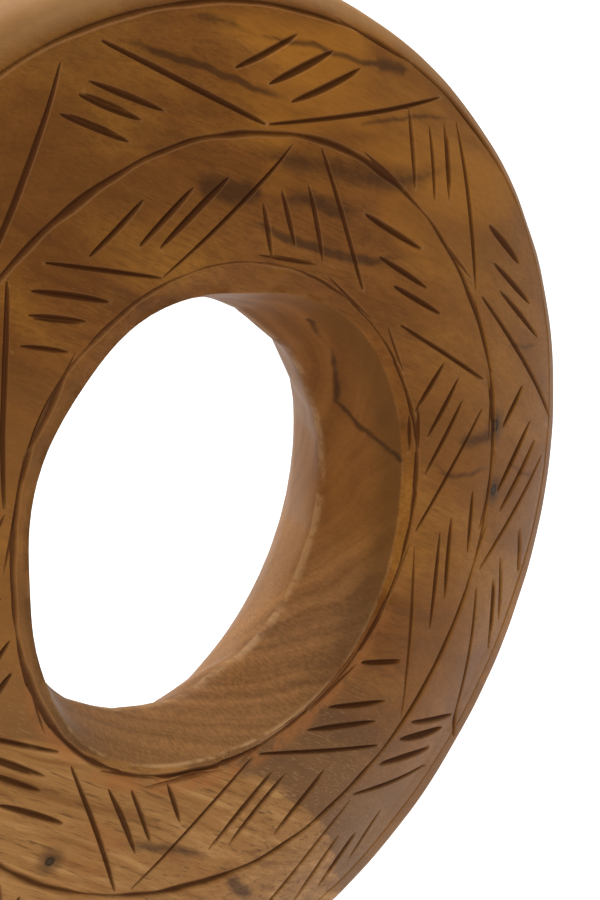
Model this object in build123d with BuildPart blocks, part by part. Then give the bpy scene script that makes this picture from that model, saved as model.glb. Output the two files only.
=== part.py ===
from build123d import *
import os

# Carved wooden fertility doll: a pierced ring for a head, a short turned body with a ringed neck,
# two peg arms and a round base. It stands on the XY plane, +Z is up, and it faces -Y.
# The origin is the centre of the underside. Sizes are in millimetres.

os.makedirs("parts", exist_ok=True)

# ---- driving dimensions ----

glue_gap = 0.05  # radial clearance of every glued peg in its bore
bore_end_gap = 0.5  # empty depth left at the end of every blind bore

felt_r = 50
felt_h = 2

base_r = 55
base_h = 22
base_edge = 6  # rounding of the base's top edge
base_chamfer = 1.5

body_foot_r = 24
body_waist_r = 22
waist_share = 0.42  # height of the waist as a share of the chest's height
body_chest_r = 25.5
body_chest_h = 106  # above the base
shoulder_h = 14
shoulder_share = 0.72  # how far out and up the shoulder's curve bulges
tenon_r = 10
tenon_h = 12

neck_r = 13.5
neck_ring_r = 16.5  # crown of each ring carved round the neck
neck_ring_h = 9.5
neck_ring_count = 4

arm_root_r = 9.5
arm_tip_r = 6.5
arm_seat_x = 22.5  # flat spot on the torso that the arm's shoulder rests on
arm_tip_rounding = 3.9
arm_reach = 66  # from the body's axis to the tip
arm_h = 92  # above the base
arm_tenon_r = 6
arm_tenon_h = 13

bust_r = 8.5
bust_x = 11
bust_y = 15  # how far in front of the body's axis the centre of each breast lies
bust_h = 80  # above the base
navel_r = 4.5
navel_y = 20
navel_h = 40  # above the base

# the ring's section, as (radius, distance from the ring's middle plane)
lip = (41.6, 16.7)  # edge of the hole on the front
throat = (35.7, 3.2)  # blunt ridge inside the hole, a little in front of the middle
rear_edge = (42.2, 8.8)  # where the wide bevel of the back starts
rear_lip = (48.8, 17.2)
front_grooves = ((44, 18.2), (66, 15.2), (87, 6.9))
rear_grooves = ((51.5, 17.8), (66, 15.2), (87, 6.9))
groove_side = 1.13  # side of the square whose corner cuts each V groove
rim_shoulder = (92.2, 2.8)
rim_r = 93
seat_cut = 5  # height of the flat cut under the ring, where it stands on the neck

dowel_r = 4
dowel_h = 48
dowel_chamfer = 0.8

screw_shank_r = 2.2
screw_root_r = 1.6
screw_head_r = 4.4
screw_head_h = 3
screw_head_rim = 0.4  # height of the head's straight edge
screw_length = 32
screw_tip_h = 4
screw_bore_gap = 0.3
countersink_gap = 0.6
thread_pitch = 2
thread_runout = 0.8
thread_turns = 10
recess_width = 1
recess_length = 4.4
recess_depth = 1.8

# ---- heights that follow from them ----

base_top = felt_h + base_h
chest_z = base_top + body_chest_h
neck_z = chest_z + shoulder_h
seat_z = neck_z + neck_ring_count * neck_ring_h
ring_z = seat_z + rim_r - seat_cut
arm_z = base_top + arm_h


# ---- head ring: a disc domed on both faces, pierced by a large round hole ----

with BuildPart() as head_ring:
    with BuildSketch(Plane.XY.offset(ring_z)):
        with BuildLine():
            front = [(r, -y) for r, y in (lip, *front_grooves, rim_shoulder)]
            rear = [rear_lip, *rear_grooves, rim_shoulder]
            ThreePointArc(front[0], (throat[0], -throat[1]), rear_edge)
            Line(rear_edge, rear_lip)
            for edge, inner, middle, outer, shoulder in (front, rear):
                Line(edge, inner)
                ThreePointArc(inner, middle, outer)
                ThreePointArc(outer, shoulder, (rim_r, 0))
        make_face()
        with Locations(*front[1:4], *rear_grooves):
            Rectangle(groove_side, groove_side, rotation=45, mode=Mode.SUBTRACT)
    revolve(axis=Axis((0, 0, ring_z), (0, 1, 0)))
    split(bisect_by=Plane.XY.offset(seat_z), keep=Keep.TOP)
    with Locations(Plane(origin=(0, 0, seat_z), z_dir=(0, 0, -1))):
        Hole(dowel_r + glue_gap, depth=dowel_h / 2 + bore_end_gap)
head_ring.part.label = "head_ring"

# ---- head dowel: glued half into the ring and half into the neck ----

with BuildPart() as head_dowel:
    with BuildSketch(Plane.XY.offset(seat_z - dowel_h / 2)):
        Circle(dowel_r)
    extrude(amount=dowel_h)
    chamfer(head_dowel.edges().filter_by(GeomType.CIRCLE), dowel_chamfer)
head_dowel.part.label = "head_dowel"

# ---- body: torso, ringed neck and the tenon that stands in the base, turned from one block ----

with BuildPart() as body:
    with BuildSketch(Plane.XZ):
        with BuildLine():
            Polyline((0, base_top - tenon_h), (tenon_r, base_top - tenon_h), (tenon_r, base_top))
            Line((tenon_r, base_top), (body_foot_r, base_top))
            waist = (body_waist_r, base_top + body_chest_h * waist_share)
            ThreePointArc((body_foot_r, base_top), waist, (body_chest_r, chest_z))
            shoulder_x = neck_r + (body_chest_r - neck_r) * shoulder_share
            shoulder = (shoulder_x, chest_z + shoulder_h * shoulder_share)
            ThreePointArc((body_chest_r, chest_z), shoulder, (neck_r, neck_z))
            for i in range(neck_ring_count):
                z = neck_z + i * neck_ring_h
                crown = (neck_ring_r, z + neck_ring_h / 2)
                ThreePointArc((neck_r, z), crown, (neck_r, z + neck_ring_h))
            Line((neck_r, seat_z), (0, seat_z))
            Line((0, seat_z), (0, base_top - tenon_h))
        make_face()
    revolve(axis=Axis.Z)
    # breasts and navel, the usual marks of such a doll
    with Locations((-bust_x, -bust_y, base_top + bust_h), (bust_x, -bust_y, base_top + bust_h)):
        Sphere(bust_r)
    with Locations((0, -navel_y, base_top + navel_h)):
        Sphere(navel_r)
    # bores for the head dowel, the arms and the screw
    with Locations(Plane.XY.offset(seat_z)):
        Hole(dowel_r + glue_gap, depth=dowel_h / 2 + bore_end_gap)
    for side in (-1, 1):
        with BuildSketch(Plane(origin=(side * arm_seat_x, 0, arm_z), z_dir=(side, 0, 0))):
            Circle(arm_root_r + glue_gap)
        extrude(amount=body_chest_r, mode=Mode.SUBTRACT)
        with Locations(Plane(origin=(side * arm_seat_x, 0, arm_z), z_dir=(side, 0, 0))):
            Hole(arm_tenon_r + glue_gap, depth=arm_tenon_h + bore_end_gap)
    with Locations(Plane(origin=(0, 0, base_top - tenon_h), z_dir=(0, 0, -1))):
        Hole(screw_shank_r + glue_gap, depth=screw_length)
body.part.label = "body"


# ---- arms: tapered pegs with a rounded tip and a tenon at the root ----


def turned_arm(side):
    """One arm, turned about its own length, pointing to side (-1 is the doll's right, 1 its left)."""
    with BuildPart() as arm:
        with BuildSketch(Plane(origin=(0, 0, arm_z), x_dir=(side, 0, 0), z_dir=(0, -side, 0))):
            with BuildLine():
                tenon_x = arm_seat_x - arm_tenon_h
                Polyline(
                    (tenon_x, 0),
                    (tenon_x, arm_tenon_r),
                    (arm_seat_x, arm_tenon_r),
                    (arm_seat_x, arm_root_r),
                    (arm_reach, arm_tip_r),
                    (arm_reach, 0),
                    close=True,
                )
            make_face()
        revolve(axis=Axis((0, 0, arm_z), (1, 0, 0)))
        tip = arm.edges().filter_by(GeomType.CIRCLE).sort_by(lambda edge: side * edge.center().X)[-1]
        fillet(tip, arm_tip_rounding)
    return arm.part


left_arm = turned_arm(1)
left_arm.label = "left_arm"
right_arm = turned_arm(-1)
right_arm.label = "right_arm"

# ---- base: a round block with a mortise for the body and a countersunk hole for the screw ----

with BuildPart() as base:
    with BuildSketch(Plane.XY.offset(felt_h)):
        Circle(base_r)
    extrude(amount=base_h)
    fillet(base.edges().filter_by(GeomType.CIRCLE).sort_by(Axis.Z)[-1], base_edge)
    chamfer(base.edges().filter_by(GeomType.CIRCLE).sort_by(Axis.Z)[0], base_chamfer)
    with Locations(Plane.XY.offset(base_top)):
        Hole(tenon_r + glue_gap, depth=tenon_h)
    with Locations(Plane(origin=(0, 0, felt_h), z_dir=(0, 0, -1))):
        bore_r = screw_shank_r + screw_bore_gap
        CounterSinkHole(bore_r, screw_head_r + countersink_gap, depth=base_h - tenon_h)
base.part.label = "base"

# ---- base screw: a countersunk wood screw, driven up through the base into the body ----

with BuildPart() as base_screw:
    with BuildSketch(Plane.XZ):
        with BuildLine():
            tip_z = felt_h + screw_length
            points = [(0, tip_z), (screw_root_r, tip_z - screw_tip_h)]
            for turn in range(thread_turns):
                z = tip_z - screw_tip_h - turn * thread_pitch
                points += [(screw_shank_r, z - thread_pitch / 2), (screw_root_r, z - thread_pitch)]
            shank_z = z - thread_pitch - thread_runout
            points += [(screw_shank_r, shank_z), (screw_shank_r, felt_h + screw_head_h)]
            points += [(screw_head_r, felt_h + screw_head_rim), (screw_head_r, felt_h), (0, felt_h)]
            Polyline(*points, close=True)
        make_face()
    revolve(axis=Axis.Z)
    with BuildSketch(Plane.XY.offset(felt_h)):
        Rectangle(recess_length, recess_width)
        Rectangle(recess_width, recess_length)
    extrude(amount=recess_depth, mode=Mode.SUBTRACT)
base_screw.part.label = "base_screw"

# ---- felt disc glued under the base ----

with BuildPart() as felt_disc:
    with BuildSketch():
        Circle(felt_r)
    extrude(amount=felt_h)
felt_disc.part.label = "felt_disc"

# ---- write one file for each piece ----

pieces = {
    "head_ring": head_ring.part,
    "head_dowel": head_dowel.part,
    "body": body.part,
    "left_arm": left_arm,
    "right_arm": right_arm,
    "base": base.part,
    "base_screw": base_screw.part,
    "felt_disc": felt_disc.part,
}
for name, piece in pieces.items():
    export_step(piece, f"parts/{name}.step")
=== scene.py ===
"""Looks of the carved wooden fertility doll: the pierced ring head, its body, arms, base and felt.

Lengths inside the functions are in millimetres and become metres when a mesh is made. Angles on the ring run
counter-clockwise as seen from the front, from 0 at the doll's left (+X). The tables give them in degrees.
"""
from math import cos, pi, radians, sin, tau

import bmesh
import bpy
import numpy as np
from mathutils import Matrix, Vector, noise
from mathutils.geometry import delaunay_2d_cdt


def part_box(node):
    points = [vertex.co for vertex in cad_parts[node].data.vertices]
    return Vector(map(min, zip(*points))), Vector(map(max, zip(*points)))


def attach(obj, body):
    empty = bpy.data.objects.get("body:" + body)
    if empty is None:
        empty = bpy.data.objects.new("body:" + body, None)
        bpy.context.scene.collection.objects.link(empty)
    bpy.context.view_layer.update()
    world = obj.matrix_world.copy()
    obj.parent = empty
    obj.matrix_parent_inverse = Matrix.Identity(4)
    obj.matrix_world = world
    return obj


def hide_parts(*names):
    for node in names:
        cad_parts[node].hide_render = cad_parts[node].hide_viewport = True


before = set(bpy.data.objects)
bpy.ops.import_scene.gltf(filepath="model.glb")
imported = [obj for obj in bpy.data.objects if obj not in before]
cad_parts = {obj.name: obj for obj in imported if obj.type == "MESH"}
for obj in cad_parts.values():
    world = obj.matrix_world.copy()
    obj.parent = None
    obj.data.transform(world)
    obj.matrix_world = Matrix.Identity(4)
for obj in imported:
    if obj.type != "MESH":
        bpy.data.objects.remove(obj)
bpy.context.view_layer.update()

MM = 0.001

# ---- sizes, from the frame and from the ring's section ----

ring_low, ring_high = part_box("head_ring")
RIM_R = (ring_high.x - ring_low.x) / 2 / MM
RING_Z = ring_high.z / MM - RIM_R
SEAT = ring_low.z / MM - RING_Z  # the flat under the ring, below its centre

GROOVE_R = (44.0, 66.0, 87.0)  # inner, middle and outer groove
GROOVE_Y = (18.2, 15.2, 6.9)  # half thickness of the ring there
BACK_GROOVE_R = (51.5, 66.0, 87.0)
LIP = (41.6, 16.7)  # edge of the hole on the front: radius and half thickness
THROAT = (35.7, -3.2)  # the ridge inside the hole: radius and depth, from the middle towards the back
REAR_EDGE = (42.2, 8.8)  # where the hole's wall starts to open into the wide bevel of the back
REAR_LIP = (48.8, 17.2)
SHOULDER_R = 91.0  # where the face turns into the rim
BASE_STEP = 1.25  # spacing of the face's mesh between the cuts
RIM_COUNT = 560  # points round the rim
RIM_ROWS = 13  # rows of faces over the rim, from front to back
RIM_CORE_R = 88.0  # centre of the rim's rounding
HOLE_COUNT = 264  # points round the hole
HOLE_ROWS = 34  # rows of faces through the hole

# the turned pieces below the ring, close to the CAD model's sizes
CHEST_H = 106  # above the base
SHOULDER_H = 14
FOOT_R = 24
CHEST_R = 25.5
NECK_R = 13.5
NECK_RINGS = 4
TENON_R = 10
BODY_COUNT = 180  # points round the body
BREASTS_AND_NAVEL = ((-11, 80, 8.0, 4.2), (11, 80, 8.0, 4.2), (0, 40, 4.6, 2.6))  # x, height, radius, swell
ARM_SEAT_X = 22.5
ARM_TENON_R = 6
ARM_TENON_H = 13
ARM_ROOT_R = 9.3
ARM_TIP_R = 6.6
ARM_COUNT = 96  # points round an arm
BASE_CHAMFER = 1.5
BASE_EDGE = 6  # rounding of the base's top edge
BASE_COUNT = 260  # points round the base


# ---- hand-made unevenness ----

# Slow swellings of each circle on the ring: (lobes, height, direction of the first crest).
# One with no lobes is a single narrow swelling.
LIP_WOBBLE = ((1, 1.9, -24), (2, 1.3, -38), (3, 0.95, 5), (4, 1.05, 42), (0, -2.9, 132), (0, 0.6, -178))
THROAT_WOBBLE = ((1, 1.9, -22), (2, 0.8, -49), (3, 0.5, -20))
REAR_WOBBLE = ((1, 2.2, -65), (2, 0.6, -36), (3, 0.2, -20))
INNER_WOBBLE = ((1, 0.9, 58), (2, 0.95, -21), (3, 0.6, -13), (0, 1.2, 137), (0, -0.8, -178))
MIDDLE_WOBBLE = ((2, 1.5, -18), (3, 0.3, -56))
OUTER_WOBBLE = ((1, 0.25, -118), (2, 1.35, -21), (3, 1.05, 10))
RIM_WOBBLE = ((1, 1.5, -83), (2, 2.6, -42), (3, 0.85, 1))


def swelling(angle, lobes):
    """Height of a wobble at an angle in radians."""
    total = 0
    for n, height, crest in lobes:
        turn = angle - radians(crest)
        total = total + height * (np.cos(n * turn) if n else ((1 + np.cos(turn)) / 2) ** 31)
    return total


def polar(radius, angle):
    return np.column_stack((radius * np.cos(angle), radius * np.sin(angle)))


def rumple(points, scale, height, seed):
    """Smooth noise at each point, from -height to height."""
    shift = Vector((seed * 13.7, seed * 7.1, seed * 3.3))
    return np.array([noise.noise(Vector(p) / scale + shift) for p in points]) * height


# ---- cuts made with a V gouge ----


class Stroke:
    """A straight, slightly bowed cut from one point of a flat face to another, tapered at both ends."""

    def __init__(self, start, end, half_width, depth, bow=0.0, fullness=0.5, oil_and_shade=1.0):
        self.start = np.array(start, float)
        along = np.array(end, float) - self.start
        self.length = np.linalg.norm(along)
        self.along = along / self.length
        self.across = np.array((-self.along[1], self.along[0]))
        self.half_width = half_width
        self.cut_depth = depth
        self.bow = bow * self.length
        self.fullness = fullness
        self.oil_and_shade = oil_and_shade

    def body_share(self, t):
        """How wide and deep the cut is at a share t of its length, from 0 to 1."""
        t = np.clip(t, 0, 1)
        return np.clip(4 * t * (1 - t), 0, 1) ** self.fullness

    def lines(self):
        count = max(6, int(self.length / 1.1))
        t = (1 - np.cos(np.linspace(0, pi, count + 1))) / 2
        spine = self.start + np.outer(t * self.length, self.along)
        spine = spine + np.outer(self.bow * 4 * t * (1 - t), self.across)
        side = np.outer(self.half_width * self.body_share(t), self.across)
        return [spine, (spine + side)[1:-1], (spine - side)[1:-1]]

    def measure(self, points):
        """How far along the cut each point lies, and how far from its bowed spine."""
        offset = points - self.start
        along = offset @ self.along
        t = along / self.length
        return along, np.abs(offset @ self.across - self.bow * 4 * t * (1 - t))

    def depth_at(self, points):
        along, distance = self.measure(points)
        t = along / self.length
        share = self.body_share(t)
        inside = (t > 0) & (t < 1)
        width = np.maximum(self.half_width * share, 1e-6)
        return np.where(inside, self.cut_depth * share * np.clip(1 - distance / width, 0, 1), 0)

    def scuff_and_highlight_at(self, points):
        """1 at the lower end of the cut, painted pale partly as a scuff the gouge left and partly as a
        painted highlight, 0 away from it.
        """
        along, distance = self.measure(points)
        low_end = 1.0 if self.along[1] < 0 else 0.0
        nearness = np.clip(1 - np.abs(along / self.length - low_end) / 0.11, 0, 1)
        return 0.5 * nearness * (distance < self.half_width)

    def second_pass(self, shift, late, early):
        """A thinner cut beside this one, that starts late and stops early by these shares of the length."""
        aside = self.across * shift * self.half_width
        start = self.start + self.along * self.length * late + aside
        end = self.start + self.along * self.length * (1 - early) + aside
        return Stroke(start, end, self.half_width * 0.5, self.cut_depth * 0.75, 0.0, self.fullness, self.oil_and_shade)

    def near(self, points, margin):
        along, distance = self.measure(points)
        reach = self.half_width + margin
        return (along > -margin) & (along < self.length + margin) & (distance < reach)


class Groove:
    """A circular cut round the ring's axis that wanders, as several passes of the gouge leave it."""

    def __init__(self, radius, half_width, depth, wander, seed, swing=0.0, faint=0.0, heavy=0.0, skew=0.0,
                 oil_and_shade=1.0):
        self.radius = radius
        self.swing = swing
        self.faint = faint
        self.heavy = heavy
        self.skew = skew
        self.oil_and_shade = oil_and_shade
        self.half_width = half_width
        self.cut_depth = depth
        self.wander = wander
        self.seed = seed

    def path(self, angle):
        a = angle + self.seed
        drift = np.sin(5 * a) + 0.8 * np.sin(8 * a + 1.3 * self.seed) + 0.5 * np.sin(13 * a + 2.1)
        drift = drift + 0.35 * np.sin(37 * a) * np.sin(3 * a + 1)
        return self.radius + self.wander * drift + self.swing * self.swung(angle)

    def swung(self, angle):
        """1 where the groove swings out towards the lower right of the ring, 0 on the other side."""
        return ((1 + np.cos(angle + radians(45))) / 2) ** 3

    def share(self, angle):
        a = angle + 2 * self.seed
        uneven = 0.84 + 0.13 * np.sin(7 * a) + 0.1 * np.sin(12 * a + 0.7) + 0.08 * np.sin(23 * a + 1.9)
        uneven = uneven + 0.09 * np.sin(41 * a) * np.sin(5 * a + 2)
        worn_away = self.faint * ((1 + np.cos(angle - radians(78))) / 2) ** 4
        heavier = 1 + self.heavy * ((1 + np.cos(angle + radians(105))) / 2) ** 2
        return uneven * heavier * (1 - 0.38 * self.swing * self.swung(angle)) * (1 - worn_away)

    def scuff_and_highlight_at(self, points):
        return np.zeros(len(points))

    def lines(self):
        count = int(tau * self.radius / 1.15)
        angle = np.linspace(0, tau, count, endpoint=False)
        out = []
        for side in (0, 1 - self.skew, -1 - self.skew):
            r = self.path(angle) + side * self.half_width * self.share(angle)
            loop = polar(r, angle)
            out.append(np.vstack((loop, loop[:1])))
        return out

    def measure(self, points):
        """The angle of each point and its distance outside the groove's spine."""
        angle = np.arctan2(points[:, 1], points[:, 0])
        return angle, np.hypot(points[:, 0], points[:, 1]) - self.path(angle)

    def depth_at(self, points):
        angle, distance = self.measure(points)
        share = self.share(angle)
        width = self.half_width * share * (1 - self.skew * np.sign(distance))
        return self.cut_depth * share * np.clip(1 - np.abs(distance) / width, 0, 1)

    def near(self, points, margin):
        return np.abs(self.measure(points)[1]) < self.half_width * (1 + self.skew) + margin


class Streak:
    """A dark streak in the wood of the front face, through points given as an angle and a place."""

    def __init__(self, half_width, strength, points, seed):
        self.half_width = half_width
        self.strength = strength
        path = []
        points = np.array([face_point(angle, place, GROOVE_R) for angle, place in points])
        for start, end in zip(points[:-1], points[1:]):
            count = max(1, int(np.linalg.norm(end - start) / 1.3))
            path += [start + (end - start) * i / count for i in range(count)]
        path = np.array(path + [points[-1]])
        shake = [rumple(np.insert(path, 1, seed + k, axis=1), 3.0, 0.45, 20) for k in (0, 9)]
        self.path = path + np.column_stack(shake)
        share = np.linspace(0, 1, len(path))
        self.taper = np.clip(np.minimum(share, 1 - share) * 4, 0.15, 1)

    def lines(self):
        run = np.gradient(self.path, axis=0)
        run = run / np.linalg.norm(run, axis=1)[:, None]
        side = np.column_stack((-run[:, 1], run[:, 0])) * self.half_width
        return [self.path, (self.path + side)[1:-1], (self.path - side)[1:-1]]

    def distance(self, points, thin=False):
        """Distance from each point to the streak; thin counts it farther from the streak's tapered ends."""
        closest = np.full(len(points), 1e9)
        for i, (start, end) in enumerate(zip(self.path[:-1], self.path[1:])):
            along = end - start
            share = np.clip((points - start) @ along / (along @ along), 0, 1)
            gap = np.linalg.norm(points - start - np.outer(share, along), axis=1)
            if thin:
                taper = self.taper[i] - share * (self.taper[i] - self.taper[i + 1])
                gap = gap + self.half_width * (1 - taper)
            closest = np.minimum(closest, gap)
        return closest

    def ink_at(self, points):
        return self.strength * np.clip(1 - self.distance(points, thin=True) / self.half_width, 0, 1)

    def near(self, points, margin):
        return self.distance(points) < self.half_width + margin


def triangulate(loops, strokes, fill):
    """Triangles over a flat region with every cut's outline and spine as edges.

    Returns the points, the triangles and, for each loop, the indices of its points."""
    points = []
    edges = []
    for loop in loops:
        first = len(points)
        points += list(loop)
        edges += [(first + i, first + (i + 1) % len(loop)) for i in range(len(loop))]
    free = np.ones(len(fill), bool)
    for stroke in strokes:
        free &= ~stroke.near(fill, 0.45)
        for line in stroke.lines():
            first = len(points)
            points += list(line)
            edges += [(first + i, first + i + 1) for i in range(len(line) - 1)]
    points = [Vector(p) for p in (*points, *fill[free])]
    vertices, _, faces, origins, _, _ = delaunay_2d_cdt(points, edges, [], 0, 1e-5, True)
    place = {}
    for new, olds in enumerate(origins):
        for old in olds:
            place[old] = new
    flat = np.array([(v.x, v.y) for v in vertices])
    loop_indices = []
    first = 0
    for loop in loops:
        loop_indices.append([place[first + i] for i in range(len(loop))])
        first += len(loop)
    return flat, [tuple(f) for f in faces], loop_indices


# ---- the pattern on the ring ----

# Each cut is (angle, place, angle, place). Places count the grooves: 0 is the inner one, 2 the outer one.
INNER_LEGS = (
    (104, 0.06, 72, 0.93), (66, 0.95, 45, 0.14), (31, 0.2, 8.5, 0.9), (4, 0.84, -16, 0.07),
    (-19, 0.1, -47, 0.95), (-52.5, 0.9, -78, 0.07), (-80, 0.07, -106, 0.93), (-109, 0.95, -134, 0.12),
    (-139, 0.1, -166, 0.93), (-171, 0.94, 163, 0.1), (162, 0.11, 129, 0.93), (123, 0.8, 104, 0.06),
)
INNER_HATCHES = (
    (135, 0.52, 129.5, 0.09), (130.5, 0.62, 123, 0.16), (127.5, 0.73, 117, 0.15),
    (116.5, 0.58, 103, 0.72), (107, 0.4, 93, 0.66), (103, 0.3, 85.5, 0.68),
    (78, 0.47, 73.8, 0.05), (74, 0.58, 68, 0.17), (68, 0.66, 59, 0.13),
    (53, 0.63, 37, 0.76), (45.5, 0.43, 31, 0.6), (38.5, 0.35, 25, 0.6),
    (16.5, 0.48, 11, 0.03), (12, 0.6, 4, 0.12), (7.5, 0.6, -4, 0.09),
    (-9, 0.73, -19.5, 0.84), (-13, 0.48, -27.5, 0.7), (-15.5, 0.37, -33, 0.67),
    (-40, 0.5, -45.5, 0.1), (-47, 0.62, -57.5, 0.13), (-50.5, 0.68, -64.5, 0.15),
    (-63.5, 0.6, -76.5, 0.85), (-72, 0.37, -86.5, 0.73), (-75, 0.28, -91, 0.7),
    (-99, 0.4, -105, 0.06), (-105.5, 0.53, -115, 0.12), (-108, 0.63, -121.5, 0.15),
    (-127.5, 0.52, -142, 0.68), (-136.5, 0.4, -149, 0.6), (-138, 0.3, -155, 0.62),
    (-159, 0.45, -163, 0.1), (-163, 0.5, -170, 0.06), (-168, 0.6, 180, 0.1),
    (171, 0.6, 159, 0.78), (165, 0.4, 149, 0.66), (159, 0.3, 143, 0.62),
)
OUTER_LEGS = (
    (134, 1.06, 106, 1.86), (100, 1.88, 77.5, 1.06), (77, 1.06, 44, 1.92), (40, 1.88, 22, 1.07),
    (20.5, 1.12, -4.2, 2.1), (-8, 1.97, -22, 1.1), (-24.5, 1.15, -42, 2.15), (-47, 2.02, -60, 1.1),
    (-60.5, 1.14, -83, 1.9),
)
OUTER_HATCHES = (
    (109.5, 1.57, 102, 1.16), (106, 1.62, 99, 1.27), (104, 1.67, 95, 1.27),
    (82, 1.49, 70.5, 1.8), (76.5, 1.37, 64.5, 1.75), (72.5, 1.25, 59.5, 1.7),
    (49.5, 1.62, 44, 1.07), (45, 1.63, 39, 1.14), (42.3, 1.78, 36, 1.27),
    (27, 1.53, 18, 1.75), (22.5, 1.4, 12, 1.78), (18.5, 1.36, 7, 1.84),
    (3, 1.5, -1, 1.14), (-2.5, 1.65, -10.5, 1.12), (-5.5, 1.77, -13.5, 1.22),
    (-16.5, 1.72, -22, 2.04), (-20, 1.45, -28, 1.97), (-23, 1.43, -31.5, 2.02),
    (-40.5, 1.9, -46, 1.12), (-42.5, 1.85, -49, 1.12), (-45.5, 1.85, -54, 1.1),
    (-55.5, 1.75, -62, 1.97), (-60.5, 1.65, -67.5, 1.93), (-63.5, 1.45, -72, 1.85),
)
# Second passes of the gouge that run beside the circular grooves.
STRAY_PASSES = (
    (57, 0.07, 38, 0.03), (34, 0.11, 21, 0.04), (12, 0.08, 2, 0.01), (11, -0.03, 2, -0.07),
    (-18, 0.05, -32, 0.02), (-46, 0.08, -62, 0.03), (-107, 0.03, -126, 0.05), (-145, 0.09, -158, 0.0),
    (57, 1.06, 46, 1.0), (9.5, 1.05, -2, 0.92), (-9, 0.99, -16, 0.93), (-15, 1.05, -25, 0.96),
    (33, 1.0, 24, 1.08), (22, 1.05, 8, 1.0), (10, 0.96, -6, 1.05),
    (150, 0.04, 176, 0.08), (128, 0.05, 150, 0.0), (78, 0.06, 60, 0.1), (-88, 0.06, -112, 0.1),
    (-64, 0.02, -84, 0.06), (64, 2.04, 50, 2.0),
)
# One triangle of the pattern, for the parts of the ring that repeat it, with angles from its foot.
UP_HATCHES = ((9, 0.47, 4, 0.07), (3.5, 0.6, -5, 0.14), (0, 0.67, -12, 0.14))
DOWN_HATCHES = ((11, 0.6, -1, 0.76), (5, 0.4, -10, 0.66), (0, 0.31, -14, 0.64))


def repeated_triangles(start, step, count, band, random):
    """Legs and hatches of one band, from start, one triangle each step degrees clockwise."""
    legs = []
    hatches = []
    squeeze = step / 58
    for i in range(count):
        foot = start - i * step + random.uniform(-2, 2)
        peak = foot - step / 2 + random.uniform(-1.5, 1.5)
        legs.append((foot - 0.5, band + 0.07, peak + 2.5, band + 0.93))
        legs.append((peak - 2.5, band + 0.93, foot - step + 1, band + 0.08))
        for centre, hatch in ((foot, DOWN_HATCHES), (peak, UP_HATCHES)):
            for a0, b0, a1, b1 in hatch:
                turn = random.uniform(-1, 1)
                lift = random.uniform(-0.03, 0.03)
                first = (centre + a0 * squeeze + turn, band + b0 + lift)
                hatches.append((*first, centre + a1 * squeeze + turn, band + b1 + lift))
    return legs, hatches


# Dark streaks on the front: half width, strength and points, each an angle and a place like the cuts have.
RING_STREAKS = (
    (1.0, 1.0, ((99, 1.9), (96.5, 1.8), (92.5, 1.66), (87.5, 1.53), (82.5, 1.4), (77.5, 1.31),
                (71.5, 1.27))),
    (0.8, 0.6, ((62, 1.18), (55, 1.35), (48, 1.6), (43, 1.78), (39, 1.92))),
    (1.8, 0.6, ((87.5, 1.9), (83, 1.85), (79, 1.78))),
    (0.9, 0.8, ((79, 1.77), (73, 1.72), (68, 1.74), (63, 1.73), (58, 1.77), (54, 1.86), (50, 1.95))),
    (1.8, 0.9, ((58, 1.77), (54, 1.86), (50, 1.94))),
    (3.4, 1.0, ((94, 0.72), (88.5, 0.6), (83.5, 0.56), (77, 0.51))),
    (2.4, 0.75, ((77, 0.51), (68, 0.54), (59, 0.55), (52.5, 0.65))),
    (3.4, 0.7, ((86, 0.86), (78, 0.83), (70, 0.81), (60, 0.84), (52, 0.92), (46, 1.1), (41.5, 1.33),
                (37, 1.6))),
    (1.3, 1.0, ((84, 0.34), (79, 0.3), (74, 0.24), (68, 0.21), (57, 0.23), (51, 0.29), (46, 0.37), (42, 0.5),
                (38.5, 0.65))),
    (0.9, 0.6, ((-1, 0.15), (-3.5, 0.27), (-5.5, 0.4), (-6, 0.6), (-6, 0.85), (-5.5, 1.0))),
    (2.0, 0.8, ((-1.5, 1.05), (-1, 0.85), (-0.5, 0.68), (0.5, 0.45))),
    (0.8, 0.5, ((11, 1.25), (8.5, 1.5), (6, 1.85))),
    (0.8, 0.5, ((-6, 1.18), (-9, 1.55), (-10.5, 1.95))),
    (1.5, 0.7, ((-115, 0.54), (-108, 0.56), (-101, 0.6), (-95, 0.68), (-89, 0.8))),
    (1.7, 1.0, ((-86.5, 1.0), (-83.5, 1.18), (-80, 1.38))),
)
# Small knots on the front: angle, place and radius.
RING_KNOTS = ((0, 1.02, 1.15), (-10, 1.06, 1.0), (-125.5, 0.82, 1.0))
# A dark line on the wall of the hole: angle and share of the way from the lip to the ridge.
WALL_STREAK = ((46, 0.38), (28, 0.52), (15, 0.68), (8, 0.48), (0.5, 0.04))


def face_point(angle, place, grooves):
    radius = np.interp(place, (-1, 0, 1, 2, 3), (22, *grooves, 108))
    radius = np.clip(radius, grooves[0] - 1.2, SHOULDER_R - 0.7)
    return radius * cos(radians(angle)), radius * sin(radians(angle))


def strokes_from(cuts, grooves, half_width, depth, fullness, random):
    out = []
    for a0, b0, a1, b1 in cuts:
        size = random.uniform(0.88, 1.16) * (1.1 if min(b0, b1) > 1 else 1.0)
        bow = random.uniform(-0.012, 0.012)
        start, end = face_point(a0, b0, grooves), face_point(a1, b1, grooves)
        full = fullness * random.uniform(0.75, 1.25)
        stroke = Stroke(start, end, half_width * size, depth * size, bow, full, random.uniform(0.7, 1.15))
        out.append(stroke)
        if random.random() < 0.35:
            shift = random.choice((-1, 1)) * random.uniform(0.4, 0.75)
            out.append(stroke.second_pass(shift, random.uniform(0.0, 0.2), random.uniform(0.0, 0.25)))
    return out


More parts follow.
